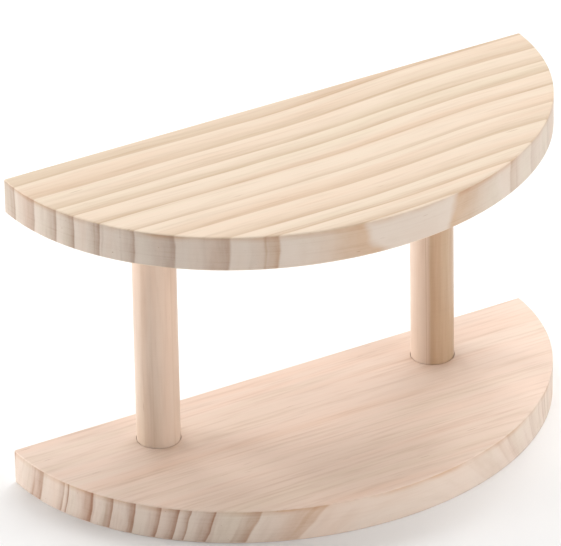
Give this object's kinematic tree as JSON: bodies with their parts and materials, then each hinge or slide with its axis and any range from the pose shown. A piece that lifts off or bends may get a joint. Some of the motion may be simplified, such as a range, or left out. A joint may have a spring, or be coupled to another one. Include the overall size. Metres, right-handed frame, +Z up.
{
  "type": "eyeglass display rack",
  "caption": "Tiered pine display rack for eyeglasses: half-ellipse shelves held apart by round posts, screwed together with hidden wood screws.",
  "frame": {"origin": "centre of the footprint, on the surface that the rack stands on", "axes": "+X along the straight back edges to the right, +Y towards the straight back, +Z up"},
  "size_m": [0.2, 0.0885, 0.117],
  "materials": {
    "upper_board_pine": "bare planed pine, quarter-sawn, matt",
    "lower_board_pine": "bare planed pine, rift-sawn, matt",
    "post_pine": "bare turned pine, matt",
    "screw_steel": "zinc-plated steel"
  },
  "bodies": {
    "root": {"upper_shelf": "upper_board_pine", "lower_shelf": "lower_board_pine", "left_post": "post_pine", "right_post": "post_pine", "left_dowel_screw": "screw_steel", "right_dowel_screw": "screw_steel", "left_base_screw": "screw_steel", "right_base_screw": "screw_steel"}
  },
  "joints": []
}
